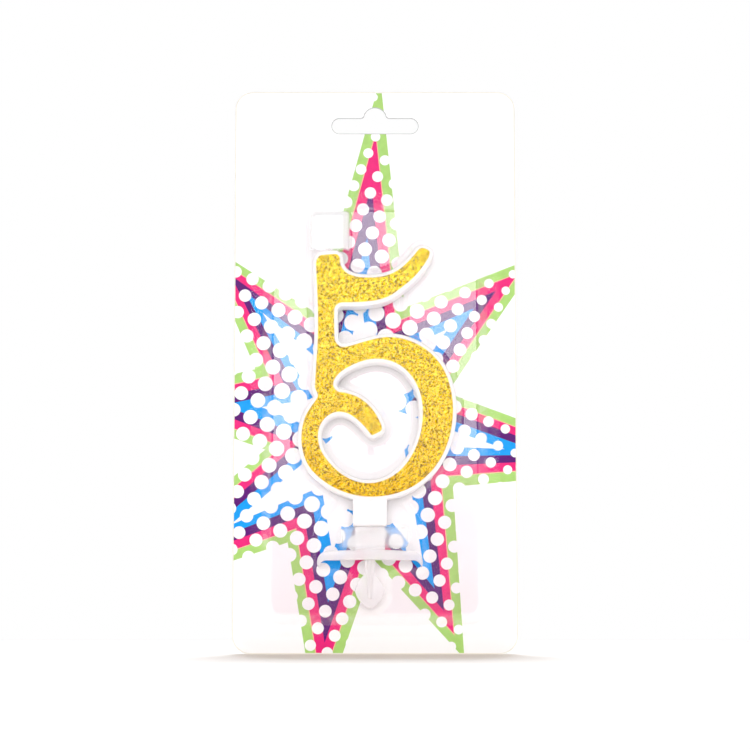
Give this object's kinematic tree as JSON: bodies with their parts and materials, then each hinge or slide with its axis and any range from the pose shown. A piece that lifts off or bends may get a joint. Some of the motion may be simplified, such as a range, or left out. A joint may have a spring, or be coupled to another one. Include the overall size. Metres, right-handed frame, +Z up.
{
  "type": "carded number birthday candle",
  "caption": "Wax numeral candle with a glitter face, a wick and a clear cake pick, held under a clear formed blister on a printed hanging card.",
  "frame": {"origin": "middle of the hang slot's bar, on the card's back face", "axes": "+Z up the card, +Y out of its back, so the front with the candle faces -Y, and +X to the right as seen from the front"},
  "size_m": [0.09, 0.0116, 0.18],
  "materials": {
    "card": "gloss",
    "clear_sheet": "polished",
    "wax": "satin",
    "gold_glitter": "satin",
    "cotton": "matte",
    "clear_plastic": "polished"
  },
  "bodies": {
    "card": {"backing_card": "card"},
    "blister": {"blister": "clear_sheet"},
    "candle": {"candle_wax": "wax", "glitter_face": "gold_glitter", "wick": "cotton", "pick": "clear_plastic"}
  },
  "joints": [
    {"name": "blister_lift", "type": "slide", "parent": "card", "child": "blister", "axis": [0, -1, 0], "range_m": [0, 0.06]},
    {"name": "candle_lift", "type": "slide", "parent": "card", "child": "candle", "axis": [0, -1, 0], "range_m": [0, 0.024]}
  ],
  "couplings": [
    {"joint": "candle_lift", "follows": "blister_lift", "ratio": 0.4}
  ]
}
